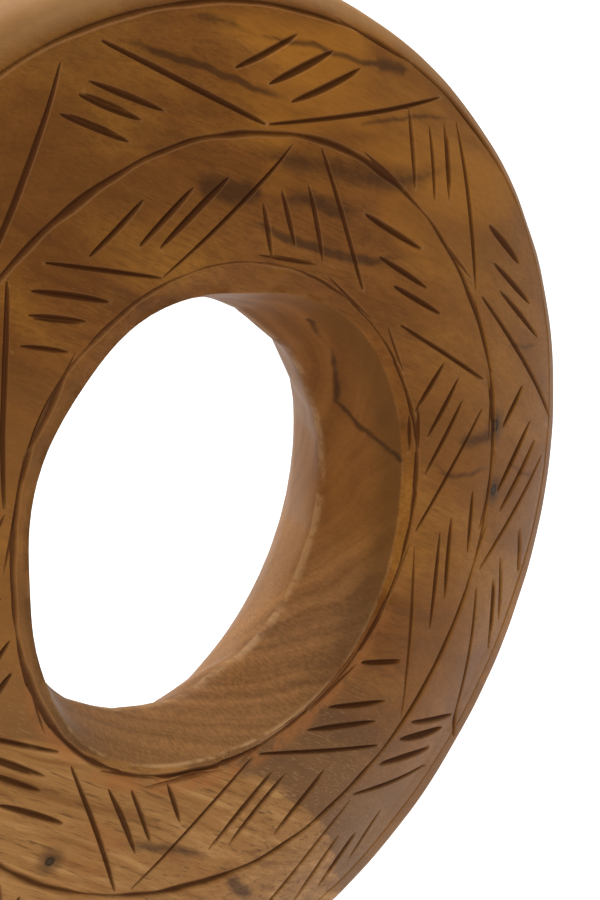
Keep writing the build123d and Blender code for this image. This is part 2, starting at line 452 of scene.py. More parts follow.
def ring_cuts(front):
    """Every cut on one face of the ring."""
    random = np.random.default_rng(11 if front else 29)
    if front:
        legs = INNER_LEGS + OUTER_LEGS
        hatches = INNER_HATCHES + OUTER_HATCHES
        more_legs, more_hatches = repeated_triangles(-100, 42, 3, 1, random)
        legs += tuple(more_legs)
        hatches += tuple(more_hatches)
        stray = STRAY_PASSES
    else:
        inner_legs, inner_hatches = repeated_triangles(97, 60, 6, 0, random)
        outer_legs, outer_hatches = repeated_triangles(80, 45, 8, 1, random)
        legs = inner_legs + outer_legs
        hatches = inner_hatches + outer_hatches
        stray = STRAY_PASSES[::3]
    grooves = GROOVE_R if front else BACK_GROOVE_R
    cuts = [
        Groove(grooves[0], 0.75, 0.8, 0.1, 0.4 + front, faint=0.5, heavy=0.25, oil_and_shade=0.8),
        Groove(grooves[1], 0.95, 0.8, 0.2, 1.7 + front, skew=0.25, oil_and_shade=0.7),
        Groove(grooves[2], 1.05, 0.95, 0.07, 2.9 + front, 2.1 * front, faint=0.25, skew=0.45, oil_and_shade=0.55),
    ]
    cuts += strokes_from(legs, grooves, 0.6, 0.7, 0.25, random)
    cuts += strokes_from(hatches, grooves, 0.76, 0.85, 0.38, random)
    cuts += strokes_from(stray, grooves, 0.5, 0.5, 0.5, random)
    return cuts


# ---- the ring's shape ----


def dome(radius, edge):
    """Half thickness of the ring and its slope at a radius, on a face whose hole has this edge."""
    (r0, r1, r2), (y0, y1, y2) = GROOVE_R, GROOVE_Y
    a = ((y2 - y1) / (r2 - r1) - (y1 - y0) / (r1 - r0)) / (r2 - r0)
    b = (y1 - y0) / (r1 - r0) - a * (r0 + r1)
    c = y0 - a * r0 * r0 - b * r0
    height = a * radius * radius + b * radius + c
    slope = 2 * a * radius + b
    width = 2.4
    lip = np.clip((edge[0] + width - radius) / width, 0, 1)
    drop = a * edge[0] ** 2 + b * edge[0] + c - edge[1]
    height = height - drop * lip
    slope = slope + drop * (lip > 0) / width
    return height, slope


def uneven_radius(radius, angle, front):
    """The radius with the wobble of the circles on either side of it mixed in."""
    circles = (LIP[0], *GROOVE_R, RIM_R) if front else (REAR_LIP[0], *BACK_GROOVE_R, RIM_R)
    inside = (LIP_WOBBLE, INNER_WOBBLE) if front else (REAR_WOBBLE, REAR_WOBBLE)
    wobbles = (*inside, MIDDLE_WOBBLE, OUTER_WOBBLE, RIM_WOBBLE)
    radius = np.asarray(radius, float)
    out = radius.copy()
    for i, lobes in enumerate(wobbles):
        weight = np.interp(radius, circles, [float(i == k) for k in range(len(circles))])
        out += weight * swelling(angle, lobes)
    return out


# where one flat knife facet of the hole's wall meets the next
FACETS = np.radians((-178, -155, -139, -124, -106, -87, -61, -41, -22, 2, 10, 34, 58, 79, 101, 122, 147, 165,
                     182))


def facet_sag(angle, radius):
    """How far flat knife facets stand inside a round wall of this radius."""
    angle = (angle + pi) % tau - pi
    i = np.clip(np.searchsorted(FACETS, angle) - 1, 0, len(FACETS) - 2)
    width = FACETS[i + 1] - FACETS[i]
    share = np.clip((angle - FACETS[i]) / width, 0, 1)
    return radius * (1 - np.cos(width / 2)) * 4 * share * (1 - share)


def wall_radius(angle, depth):
    """Radius of the hole's wall: narrow at the ridge, wider to both faces, with a wide bevel at the back."""
    edges = (LIP, THROAT, REAR_EDGE, REAR_LIP)
    wobbles = (LIP_WOBBLE, THROAT_WOBBLE, REAR_WOBBLE, REAR_WOBBLE)
    lip, throat, rear, back = [edge[0] + swelling(angle, lobes) for edge, lobes in zip(edges, wobbles)]
    if depth < THROAT[1]:
        share = (depth + LIP[1]) / (THROAT[1] + LIP[1])
        return lip + (throat - lip) * (1 - (1 - share) ** 1.1) - facet_sag(angle, throat) * share * 0.7
    if depth < REAR_EDGE[1]:
        share = (depth - THROAT[1]) / (REAR_EDGE[1] - THROAT[1])
        return throat + (rear - throat) * share**1.3 - facet_sag(angle, throat) * (0.7 + 0.5 * share)
    share = (depth - REAR_EDGE[1]) / (REAR_LIP[1] - REAR_EDGE[1])
    return rear + (back - rear) * share**1.15 - facet_sag(angle, throat) * 1.2 * (1 - share)


def front_spot(angle, place):
    """Where a spot at an angle and a place on the front lies on the finished ring."""
    nominal = np.hypot(*face_point(angle, place, GROOVE_R))
    radius = float(uneven_radius(nominal, radians(angle), True))
    depth = float(-np.interp(place, (0, 1, 2), GROOVE_Y))
    return radius * cos(radians(angle)), depth, radius * sin(radians(angle))


def wall_spot(angle, share):
    """Where a spot on the hole's wall lies, at an angle and a share of the way from the lip to the ridge."""
    depth = share * (LIP[1] + THROAT[1]) - LIP[1]
    radius = float(wall_radius(radians(angle), depth))
    return radius * cos(radians(angle)), depth, radius * sin(radians(angle))


def face_fill(hole_r, random):
    """Points spread unevenly over a face, for the mesh between its cuts."""
    fill = []
    rows = int((SHOULDER_R - hole_r) / (BASE_STEP * 0.87))
    for k in range(1, rows):
        r = hole_r + (SHOULDER_R - hole_r) * k / rows
        count = int(tau * r / BASE_STEP)
        angle = (np.arange(count) + random.uniform(0, 1) + random.uniform(-0.2, 0.2, count)) * tau / count
        fill.append(polar(r + random.uniform(-0.15, 0.15, count), angle))
    return np.vstack(fill)


def carved_face(front, edge, loops, random):
    """Points, triangles and marks of one face, and the indices of the points on its two edges."""
    fill = face_fill(edge[0], random)
    strokes = ring_cuts(front)
    streaks = [Streak(*streak, seed) for seed, streak in enumerate(RING_STREAKS)] if front else []
    flat, triangles, edges = triangulate(loops, strokes + streaks, fill)
    depth, cut_oil_and_shade, tip_scuff_and_highlight, ink = np.zeros((4, len(flat)))
    for stroke in strokes:
        here = stroke.depth_at(flat)
        depth = np.maximum(depth, here)
        # how dark the cut is painted here, partly for oil in it and partly as painted shade
        cut_oil_and_shade = np.maximum(cut_oil_and_shade, here * stroke.oil_and_shade)
        # a pale low end of the cut, partly a scuff and partly a painted highlight
        tip_scuff_and_highlight = np.maximum(tip_scuff_and_highlight, stroke.scuff_and_highlight_at(flat))
    for streak in streaks:
        ink = np.maximum(ink, streak.ink_at(flat))
    radius = np.hypot(flat[:, 0], flat[:, 1])
    angle = np.arctan2(flat[:, 1], flat[:, 0])
    # the rim beyond the outer groove, which is painted paler for dust and a painted sheen
    beyond = np.clip((radius - strokes[2].path(angle) - 0.4) / 1.2, 0, 1)
    rim = beyond * (1 - strokes[2].swung(angle)) if front else beyond
    low = ((1 + np.cos(angle + radians(100))) / 2) ** 3
    stain = np.clip(1 - np.abs(radius - GROOVE_R[0] - 1.4) / 2.6, 0, 1) * low * front
    height, slope = dome(radius, edge)
    tilt = np.arctan(slope)
    r = uneven_radius(radius, angle, front) + depth * np.sin(tilt)
    y = height - depth * np.cos(tilt)
    points = np.column_stack((r * np.cos(angle), -y if front else y, r * np.sin(angle)))
    middle = flat[np.array(triangles)].mean(1)
    keep = np.hypot(middle[:, 0], middle[:, 1]) > edge[0] * 0.9995
    triangles = [t for t, k in zip(triangles, keep) if k]
    return points, triangles, {"cut": cut_oil_and_shade, "wear_and_highlight": tip_scuff_and_highlight, "streak": ink, "rim": rim, "stain": stain}, edges


def ring_mesh():
    """Points and faces of the whole ring round its own centre, and the marks that colour each point."""
    rim_angle = np.linspace(0, tau, RIM_COUNT, endpoint=False)
    hole_angle = np.linspace(0, tau, HOLE_COUNT, endpoint=False)
    random = np.random.default_rng(5)
    points = []
    marks = {mark: [] for mark in ("cut", "wear_and_highlight", "streak", "rim", "stain", "wall")}
    faces = []
    edges = []

    def add(new_points, values):
        """Adds points with these marks, 0 for the others, and returns the points' indices."""
        first = len(points)
        points.extend(new_points)
        for mark, all_values in marks.items():
            all_values.extend(np.broadcast_to(values.get(mark, 0.0), len(new_points)))
        return list(range(first, len(points)))

    def add_rows(first, angle, rows, last):
        """Joins two edges by rows in between, each given as its radius, depth and marks."""
        previous = first
        for radius, y, values in rows:
            row = add([(r * cos(a), y, r * sin(a)) for r, a in zip(radius, angle)], values)
            faces.extend(bridge(previous, row))
            previous = row
        faces.extend(bridge(previous, last))

    for front, edge in ((True, LIP), (False, REAR_LIP)):
        loops = [polar(SHOULDER_R, rim_angle), polar(edge[0], hole_angle)]
        face_points, triangles, values, loops = carved_face(front, edge, loops, random)
        index = add(face_points, values)
        faces += [tuple(index[i] for i in triangle) for triangle in triangles]
        edges.append([[index[i] for i in loop] for loop in loops])
    (front_rim, front_hole), (back_rim, back_hole) = edges

    # the front lip of the hole is painted pale, partly wear and partly a painted highlight, most at the
    # bottom
    for i, angle in zip(front_hole, hole_angle):
        marks["wear_and_highlight"][i] = 0.4 + 0.6 * ((1 + cos(angle + radians(105))) / 2) ** 3
    for i in front_hole + back_hole:
        marks["wall"][i] = 0.3

    rows = []
    edge_y = float(dome(np.array([SHOULDER_R]), LIP)[0][0])
    start = np.arcsin((SHOULDER_R - RIM_CORE_R) / (RIM_R - RIM_CORE_R))
    half = edge_y / np.cos(start)
    for k in range(1, RIM_ROWS):
        phase = start + (pi - 2 * start) * k / RIM_ROWS
        radius = np.full(RIM_COUNT, RIM_CORE_R + (RIM_R - RIM_CORE_R) * sin(phase))
        rows.append((uneven_radius(radius, rim_angle, True), -half * cos(phase), {"rim": 1.0}))
    add_rows(front_rim, rim_angle, rows, back_rim)
    rows = []
    for k in range(1, HOLE_ROWS):
        y = -LIP[1] + (LIP[1] + REAR_LIP[1]) * k / HOLE_ROWS
        # a pale line along the ridge, partly wear and partly a painted highlight
        wear = np.exp(-(((y - THROAT[1]) / 1.1) ** 2)) * 0.8
        rows.append((wall_radius(hole_angle, y), y, {"wear_and_highlight": wear, "wall": 1.0}))
    add_rows(front_hole, hole_angle, rows, back_hole)
    return np.array(points), faces, {mark: np.array(values) for mark, values in marks.items()}


def bridge(one, two):
    """Quads between two rows of as many points."""
    count = len(one)
    return [(one[i], one[(i + 1) % count], two[(i + 1) % count], two[i]) for i in range(count)]


# ---- turned pieces ----


def notched(profile, targets, half_width, depth):
    """The profile with a V cut at the points nearest the targets, and how deep the cut is at each point."""
    points = np.array(profile, float)
    run = np.concatenate(([0], np.cumsum(np.linalg.norm(np.diff(points, axis=0), axis=1))))
    depths = np.zeros(len(points))
    for target in targets:
        middle = run[np.argmin(np.linalg.norm(points - target, axis=1))]
        stops = (middle - half_width, middle, middle + half_width)
        cut = np.column_stack([np.interp(stops, run, points[:, k]) for k in (0, 1)])
        along = cut[2] - cut[0]
        cut[1] += np.array((-along[1], along[0])) / np.linalg.norm(along) * depth
        first, last = np.searchsorted(run, (stops[0], stops[2]))
        points = np.vstack((points[:first], cut, points[last:]))
        depths = np.concatenate((depths[:first], (0, depth, 0), depths[last:]))
        run = np.concatenate((run[:first], stops, run[last:]))
    return points, depths


def all_round(values, count):
    """A value for each point of a profile, repeated for each point that lathe makes from it."""
    return np.concatenate(([values[0]], np.repeat(values[1:-1], count), [values[-1]]))


def lathe(profile, count):
    """A closed turned shape from (radius, height) points; the first and last lie on the axis."""
    points = [(0.0, 0.0, profile[0][1])]
    faces = []
    angles = [tau * i / count for i in range(count)]
    previous = None
    for r, z in profile[1:-1]:
        row = list(range(len(points), len(points) + count))
        points += [(r * cos(a), r * sin(a), z) for a in angles]
        if previous is None:
            faces += [(0, row[(i + 1) % count], row[i]) for i in range(count)]
        else:
            faces += bridge(previous, row)
        previous = row
    points.append((0.0, 0.0, profile[-1][1]))
    last = len(points) - 1
    faces += [(previous[i], previous[(i + 1) % count], last) for i in range(count)]
    return np.array(points), faces


def arc(start, end, bulge, count):
    """Points from start to end along a curve that stands bulge off the chord, without the first."""
    start = np.array(start, float)
    end = np.array(end, float)
    chord = end - start
    off = np.array((chord[1], -chord[0])) / np.linalg.norm(chord)
    t = np.linspace(0, 1, count + 1)[1:]
    return [tuple(start + chord * s + off * bulge * 4 * s * (1 - s)) for s in t]


def line(start, end, step):
    count = max(1, int(np.hypot(end[0] - start[0], end[1] - start[1]) / step))
    return arc(start, end, 0, count)


# ---- making objects ----


def make_piece(name, points, faces, material, node, marks=None, sharp=28):
    """A mesh object that stands for a CAD node, shaded smooth apart from its sharp edges."""
    mesh = bpy.data.meshes.new(name)
    mesh.from_pydata([tuple(p) for p in np.asarray(points) * MM], [], faces)
    for mark, values in (marks or {}).items():
        attribute = mesh.attributes.new(mark, "FLOAT", "POINT")
        attribute.data.foreach_set("value", np.asarray(values, np.float32))
    work = bmesh.new()
    work.from_mesh(mesh)
    bmesh.ops.recalc_face_normals(work, faces=work.faces)
    work.to_mesh(mesh)
    work.free()
    mesh.polygons.foreach_set("use_smooth", [True] * len(mesh.polygons))
    mesh.set_sharp_from_angle(angle=radians(sharp))
    mesh.materials.append(material)
    piece = bpy.data.objects.new(name, mesh)
    bpy.context.scene.collection.objects.link(piece)
    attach(piece, "root")
    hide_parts(node)
    return piece


# ---- materials ----


class Nodes:
    """A new material, and a short way to write its node tree."""

    def __init__(self, name):
        self.material = bpy.data.materials.new(name)
        self.material.use_nodes = True
        self.tree = self.material.node_tree
        self.tree.nodes.clear()
        self.output = self.add("ShaderNodeOutputMaterial")
        self.shader = self.add("ShaderNodeBsdfPrincipled")
        self.link(self.shader.outputs["BSDF"], self.output.inputs["Surface"])

    def add(self, kind, **settings):
        node = self.tree.nodes.new(kind)
        for key, value in settings.items():
            setattr(node, key, value)
        return node

    def link(self, source, target):
        self.tree.links.new(source, target)

    def feed(self, socket, value):
        if isinstance(value, bpy.types.NodeSocket):
            self.link(value, socket)
        elif value is not None:
            socket.default_value = value

    def surface(self, name, value):
        self.feed(self.shader.inputs[name], value)

    def math(self, operation, a, b=None, clamp=False):
        node = self.add("ShaderNodeMath", operation=operation, use_clamp=clamp)
        for socket, value in zip(node.inputs, (a, b)):
            self.feed(socket, value)
        return node.outputs[0]

    def times(self, a, b):
        return self.math("MULTIPLY", a, b)

    def vector(self, operation, a, b=None, scale=None):
        node = self.add("ShaderNodeVectorMath", operation=operation)
        self.feed(node.inputs[0], a)
        self.feed(node.inputs[1], b)
        if scale is not None:
            self.feed(node.inputs["Scale"], scale)
        return node.outputs["Value"] if operation in ("LENGTH", "DOT_PRODUCT") else node.outputs["Vector"]

    def stretch(self, vector, factors):
        return self.vector("MULTIPLY", vector, factors)

    def split(self, vector):
        node = self.add("ShaderNodeSeparateXYZ")
        self.feed(node.inputs[0], vector)
        return [node.outputs[axis] for axis in "XYZ"]

    def object_place(self):
        """The place on the object in millimetres."""
        return self.vector("SCALE", self.add("ShaderNodeTexCoord").outputs["Object"], scale=1 / MM)

    def mark(self, name):
        """A value that the mesh holds at each point."""
        return self.add("ShaderNodeAttribute", attribute_name=name).outputs["Fac"]

    def noise(self, vector, scale, detail=2.0, roughness=0.5, distortion=0.0, color=False):
        node = self.add("ShaderNodeTexNoise")
        self.feed(node.inputs["Vector"], vector)
        self.feed(node.inputs["Scale"], scale)
        self.feed(node.inputs["Detail"], detail)
        self.feed(node.inputs["Roughness"], roughness)
        self.feed(node.inputs["Distortion"], distortion)
        return node.outputs["Color" if color else "Fac"]

    def grain(self, vector, factors, detail, roughness=0.5, distortion=0.0):
        """Noise drawn out along the axes whose factors are small."""
        return self.noise(self.stretch(vector, factors), 1.0, detail, roughness, distortion)

    def jitter(self, vector, detail=2.0, roughness=0.5):
        """A noise vector round zero."""
        noise_vector = self.noise(vector, 1.0, detail, roughness, color=True)
        return self.vector("SUBTRACT", noise_vector, (0.5, 0.5, 0.5))

    def moved(self, vector, by, scale):
        return self.vector("ADD", vector, self.vector("SCALE", by, scale=scale))

    def either_way(self, value, amount):
        """Noise turned into a value from minus half the amount to half the amount."""
        return self.times(self.math("SUBTRACT", value, 0.5), amount)

    def ramp(self, value, stops, smooth=False):
        node = self.add("ShaderNodeValToRGB")
        node.color_ramp.interpolation = "EASE" if smooth else "LINEAR"
        while len(node.color_ramp.elements) < len(stops):
            node.color_ramp.elements.new(0.5)
        for element, (position, color) in zip(node.color_ramp.elements, stops):
            element.position = position
            element.color = color if len(color) == 4 else (*color, 1)
        self.feed(node.inputs["Fac"], value)
        return node.outputs["Color"]

    def step(self, value, low, high):
        """0 below low, 1 above high and a soft step between; low above high turns it round."""
        node = self.add("ShaderNodeMapRange", interpolation_type="SMOOTHSTEP")
        self.feed(node.inputs["Value"], value)
        self.feed(node.inputs["From Min"], low)
        self.feed(node.inputs["From Max"], high)
        return node.outputs["Result"]

    def mix(self, share, a, b, blend="MIX"):
        node = self.add("ShaderNodeMix", data_type="RGBA", blend_type=blend)
        self.feed(node.inputs["Factor"], share)
        self.feed(node.inputs["A"], (*a, 1) if isinstance(a, tuple) and len(a) == 3 else a)
        self.feed(node.inputs["B"], (*b, 1) if isinstance(b, tuple) and len(b) == 3 else b)
        return node.outputs["Result"]

    def tint(self, color, mask, share, shade):
        """The colour with this share of the shade mixed in where the mask is 1."""
        return self.mix(self.times(mask, share), color, shade)

    def bump(self, height, distance, strength, normal=None):
        node = self.add("ShaderNodeBump")
        self.feed(node.inputs["Height"], height)
        self.feed(node.inputs["Distance"], distance)
        self.feed(node.inputs["Strength"], strength)
        self.feed(node.inputs["Normal"], normal)
        return node.outputs["Normal"]


def with_sapwood(n, color, block, wavy, edge_years, vessels, flecks, sapwood):
    """Pale wood from this distance of the pith outwards, and greyer wood just before it."""
    edge_noise = n.grain(block, (0.04, 0.3, 0.3), 3.0, 0.6)
    edge = n.math("ADD", edge_years, n.either_way(edge_noise, 4.5))
    run = n.split(block)[0]
    bend = n.math("POWER", n.math("ABSOLUTE", n.math("SUBTRACT", run, 38.0)), 2.0)
    edge = n.math("SUBTRACT", edge, n.times(bend, 0.0016))
    pale = n.step(edge, sapwood - 0.5, sapwood + 0.5)
    band = n.grain(wavy, (0.012, 0.5, 0.5), 4.0, 0.62)
    sap = n.ramp(band, [(0.32, (0.200, 0.084, 0.021)), (0.5, (0.285, 0.132, 0.037)),
                        (0.68, (0.385, 0.195, 0.064))], smooth=True)
    stain = n.grain(block, (0.03, 0.08, 0.08), 3.0, 0.6)
    sap = n.tint(sap, n.step(stain, 0.5, 0.75), 0.55, (0.26, 0.080, 0.016))
    dashes = n.grain(block, (0.13, 1.9, 1.9), 4.0, 0.65)
    sap = n.tint(sap, n.step(dashes, 0.54, 0.70), 0.7, (0.085, 0.034, 0.009))
    sap = n.tint(sap, n.step(vessels, 0.58, 0.70), 0.5, (0.10, 0.042, 0.012))
    before = n.step(edge, sapwood - 22, sapwood - 4)
    grey = n.mix(0.75, color, (0.150, 0.076, 0.030))
    grey = n.tint(grey, n.step(flecks, 0.56, 0.7), 0.5, (0.30, 0.17, 0.070))
    color = n.tint(color, before, 0.8, grey)
    return n.mix(pale, color, sap)


def with_hole(n, color, place, axes, golden, years):
    """Darker and lighter patches beside the hole, and the layered wood of its wall with painted light and
    shade on it.
    """
    x, y, z = axes
    inside = n.step(n.mark("wall"), 0.25, 0.6)
    to_left = n.times(n.step(x, 15.0, -25.0), n.step(z, 38.0, 62.0))
    color = n.tint(color, to_left, 0.45, (0.100, 0.036, 0.008))
    to_edge = n.times(n.step(x, -24.0, -46.0), n.step(z, 46.0, 24.0))
    to_edge = n.times(to_edge, n.step(z, -44.0, -12.0))
    color = n.tint(color, to_edge, 0.52, (0.250, 0.103, 0.021))
    aglow = n.times(n.step(x, 0.0, 25.0), n.step(z, 28.0, 44.0))
    aglow = n.times(aglow, n.step(golden, 0.40, 0.60))
    color = n.tint(color, aglow, 0.50, (0.340, 0.125, 0.0120))
    to_right = n.step(x, 30.0, 62.0)
    color = n.tint(color, to_right, 0.30, (0.280, 0.112, 0.016))
    layer = n.add("ShaderNodeCombineXYZ")
    n.feed(layer.inputs["X"], n.times(years, 0.30))
    layers = n.noise(layer.outputs[0], 1.0, 3.0, 0.6)
    wall = n.ramp(layers, [(0.34, (0.135, 0.050, 0.012)), (0.66, (0.215, 0.084, 0.020))], smooth=True)
    pale = n.ramp(layers, [(0.34, (0.155, 0.072, 0.026)), (0.66, (0.275, 0.130, 0.046))], smooth=True)
    # the wall is painted paler low down, partly paler wood and partly a painted highlight where the wall
    # faces up to the light
    wall = n.mix(n.step(z, -6.0, -28.0), wall, pale)
    # painted light: the wall behind the ridge is lighter, where it faces back towards the lamp behind the
    # ring
    back_wall_light = n.times(n.step(y, -4.0, 1.5), 0.5)
    wall = n.mix(back_wall_light, wall, (0.330, 0.160, 0.052))
    color = n.tint(color, inside, 0.68, wall)
    lines = n.grain(place, (2.2, 0.12, 2.2), 1.0, 0.5)
    tone = n.ramp(lines, [(0.36, (0.62, 0.62, 0.62)), (0.64, (1.2, 1.2, 1.2))])
    strength = n.math("ADD", 0.1, n.times(n.step(z, -12.0, -32.0), 0.35))
    color = n.mix(n.times(inside, strength), color, tone, "MULTIPLY")
    # painted shade just inside the front lip, on the doll's left
    crease_shade = n.times(n.step(y, -10.5, -15.0), n.step(x, 18.0, 34.0))
    return n.tint(color, n.times(inside, crease_shade), 0.55, (0.075, 0.032, 0.007))


def with_streaks(n, color, place, unsteady, mottle, line, knots):
    """Dark wavy streaks, and knots with rings round them."""
    ink = n.mark("streak")
    ink = n.math("ADD", ink, n.times(n.math("SUBTRACT", mottle, 0.5), n.times(ink, 1.3)))
    color = n.tint(color, n.step(ink, 0.03, 0.75), 0.68, (0.032, 0.012, 0.0035))
    gap = 1000.0
    for start, end in zip(line[:-1], line[1:]):
        along = Vector(end) - Vector(start)
        offset = n.vector("SUBTRACT", n.moved(place, unsteady, 2.5), start)
        share = n.vector("DOT_PRODUCT", offset, tuple(along / along.length_squared))
        share = n.math("MULTIPLY", share, 1.0, clamp=True)
        side = n.vector("SUBTRACT", offset, n.vector("SCALE", tuple(along), scale=share))
        gap = n.math("MINIMUM", n.vector("LENGTH", side), gap)
    if line:
        color = n.tint(color, n.step(gap, 0.85, 0.1), 0.75, (0.030, 0.012, 0.0040))
    for spot, size in knots:
        offset = n.vector("SUBTRACT", n.moved(place, unsteady, 1.5), spot)
        gap = n.vector("LENGTH", n.stretch(offset, (1, 0.35, 1)))
        color = n.tint(color, n.step(gap, size * 3.8, size * 0.9), 0.65, (0.045, 0.019, 0.007))
        rings = n.math("SINE", n.times(gap, 5.5))
        eye = n.mix(n.step(rings, -0.4, 0.6), (0.011, 0.007, 0.004), (0.040, 0.022, 0.011))
        color = n.tint(color, n.step(gap, size * 1.3, size * 0.6), 0.9, eye)
    return color


def with_rim_dust_and_sheen(n, color, place, x):
    """The rim is painted paler, partly as dust and partly as a painted sheen of the light from above, most
    of all on the doll's left.
    """
    rim_patches = n.noise(n.vector("SCALE", place, scale=0.07), 1.0, 4.0, 0.65)
    rim = n.mark("rim")
    # the painted sheen is weaker on the doll's right, which the key lamp already lights
    rim = n.times(rim, n.math("ADD", 0.62, n.times(n.step(x, -40.0, 25.0), 0.38)))
    dust_and_sheen = n.times(rim, n.math("ADD", 0.70, n.times(n.step(rim_patches, 0.34, 0.62), 0.26)))
    return n.tint(color, dust_and_sheen, 0.9, (0.320, 0.172, 0.070))


def with_cuts(n, color, patchy):
    """Pale edges, partly wear and partly painted highlight, and dark cuts, partly oil and partly painted
    shade. Returns the colour and a value that is 1 deep in a cut.
    """
    wear_and_highlight = n.mark("wear_and_highlight")
    # pale edges and tips, partly wear and partly a painted highlight
    pale_wear_and_highlight = n.times(n.step(wear_and_highlight, 0.25, 1.0), n.step(patchy, 0.36, 0.6))
    color = n.tint(color, pale_wear_and_highlight, 0.7, (0.40, 0.235, 0.105))
    stain = n.mark("stain")
    stain = n.times(n.step(stain, 0.0, 0.6), n.step(patchy, 0.36, 0.56))
    color = n.tint(color, stain, 0.6, (0.30, 0.105, 0.026))
    cut = n.mark("cut")
    cut = n.math("ADD", cut, n.either_way(patchy, 0.10))
    # pale brims along the edges of the cuts, partly frayed wood and partly a painted highlight
    brim = n.times(n.step(cut, 0.01, 0.06), n.step(cut, 0.20, 0.10))
    color = n.tint(color, brim, 0.30, (0.30, 0.145, 0.060))
    # deep in a cut the colour is darkened, partly for oil and partly as painted shade
    deep = n.times(n.step(cut, 0.05, 0.44), n.math("SUBTRACT", 1.0, n.times(wear_and_highlight, 0.6)))
    color = n.tint(color, deep, 0.84, (0.060, 0.018, 0.0048))
    return color, deep


def teak(name, centre, fibre_angle, pith, sapwood=None, line=(), knots=(), hole=False):
    """Teak, cut from one log, so that growth rings, fibres, streaks and sapwood run through the piece.

    centre is the middle of the block in millimetres and fibre_angle how far its fibres fall towards +X.
    pith is the place of the log's middle beside that centre, as (height across the fibres, depth), and
    sapwood the distance from the pith where the pale outer wood starts. line and knots are a dark line and
    small knots through points on the piece. A piece with a hole has its own colours on the hole's wall, and
    painted light and shade there."""
    n = Nodes(name)
    place = n.vector("SUBTRACT", n.object_place(), centre)
    turn = n.add("ShaderNodeMapping", vector_type="POINT")
    turn.inputs["Rotation"].default_value = (0, -radians(fibre_angle), 0)
    n.feed(turn.inputs["Vector"], place)
    block = turn.outputs["Vector"]  # X along the fibres, Z across them, Y into the block

    # fibres wander slowly
    slow = n.stretch(block, (0.008, 0.028, 0.028))
    wavy = n.moved(block, n.jitter(slow), 16.0)
    quick = n.stretch(block, (0.05, 0.16, 0.16))
    wavy = n.moved(wavy, n.jitter(quick), 2.2)

    # distance from the pith
    from_pith = n.vector("SUBTRACT", wavy, (0, pith[1], pith[0]))
    years = n.vector("LENGTH", n.stretch(from_pith, (0, 1, 1)))
    edge_years = n.vector("SUBTRACT", block, (0, pith[1], pith[0]))
    edge_years = n.vector("LENGTH", n.stretch(edge_years, (0, 1, 1)))

    year = n.math("FRACT", n.math("DIVIDE", years, 4.6))
    greys = ((0.0, 1), (0.55, 0.72), (0.88, 0.18), (0.94, 0.0), (1.0, 1))
    ring_line = n.ramp(year, [(at, (grey, grey, grey)) for at, grey in greys])
    wide_year = n.grain(wavy, (0.006, 0.09, 0.09), 3.0, 0.55)
    patch = n.grain(block, (0.011, 0.02, 0.02), 3.0, 0.5, 0.4)
    golden = n.grain(wavy, (0.018, 0.05, 0.05), 3.0, 0.6, 0.5)

    color = n.ramp(wide_year, [(0.28, (0.088, 0.028, 0.0050)), (0.48, (0.168, 0.058, 0.0092)),
                               (0.72, (0.265, 0.104, 0.0180))], smooth=True)
    color = n.tint(color, n.step(golden, 0.46, 0.70), 0.7, (0.330, 0.135, 0.0180))
    color = n.tint(color, n.step(patch, 0.5, 0.7), 0.4, (0.115, 0.052, 0.0150))
    color = n.mix(0.2, color, n.mix(0.4, ring_line, (1.0, 1.0, 1.0)), "MULTIPLY")

    # fine fibre: vessel lines and pale flecks
    fibre = n.grain(wavy, (0.10, 2.2, 2.2), 4.0, 0.65)
    vessels = n.grain(block, (0.22, 4.0, 4.0), 2.0, 0.6)
    flecks = n.noise(n.stretch(block, (0.35, 3.0, 3.0)), 1.3, 1.0, 0.5)
    mottle = n.grain(block, (0.35, 0.9, 0.9), 4.0, 0.65)
    color = n.tint(color, n.step(mottle, 0.4, 0.7), 0.28, (0.075, 0.024, 0.0040))
    color = n.tint(color, n.step(fibre, 0.42, 0.7), 0.34, (0.070, 0.022, 0.0040))
    color = n.tint(color, n.step(vessels, 0.58, 0.70), 0.34, (0.045, 0.015, 0.0030))
    color = n.tint(color, n.step(flecks, 0.64, 0.76), 0.20, (0.32, 0.16, 0.045))

    if sapwood is not None:
        color = with_sapwood(n, color, block, wavy, edge_years, vessels, flecks, sapwood)
    axes = n.split(place)
    if hole:
        color = with_hole(n, color, place, axes, golden, years)

    unsteady = n.jitter(n.vector("SCALE", place, scale=0.14), 4.0, 0.65)
    patchy = n.noise(n.vector("SCALE", place, scale=0.22), 1.0, 3.0, 0.7)
    color = with_streaks(n, color, place, unsteady, mottle, line, knots)
    color = with_rim_dust_and_sheen(n, color, place, axes[0])
    color, deep = with_cuts(n, color, patchy)
    n.surface("Base Color", color)

    rough = n.math("ADD", 0.40, n.times(fibre, 0.18))
    rough = n.math("ADD", rough, n.times(deep, 0.25))
    n.surface("Roughness", rough)
    n.surface("Specular IOR Level", 0.06)
    scratches = n.grain(place, (1.7, 1.7, 0.5), 4.0, 0.6, 0.8)
    relief = n.math("ADD", n.times(fibre, 0.6), n.times(vessels, 0.7))
    normal = n.bump(relief, 0.00006, 0.5)
    normal = n.bump(scratches, 0.00012, 0.3, normal)
    n.surface("Normal", normal)
    return n.material


# ---- the pieces ----


def pushed_out(points, amount):
    """The points moved away from the Z axis by this much."""
    radial = np.hypot(points[:, 0], points[:, 1])
    out = points / np.maximum(radial, 1)[:, None] * np.array((1, 1, 0))
    return points + out * amount[:, None]


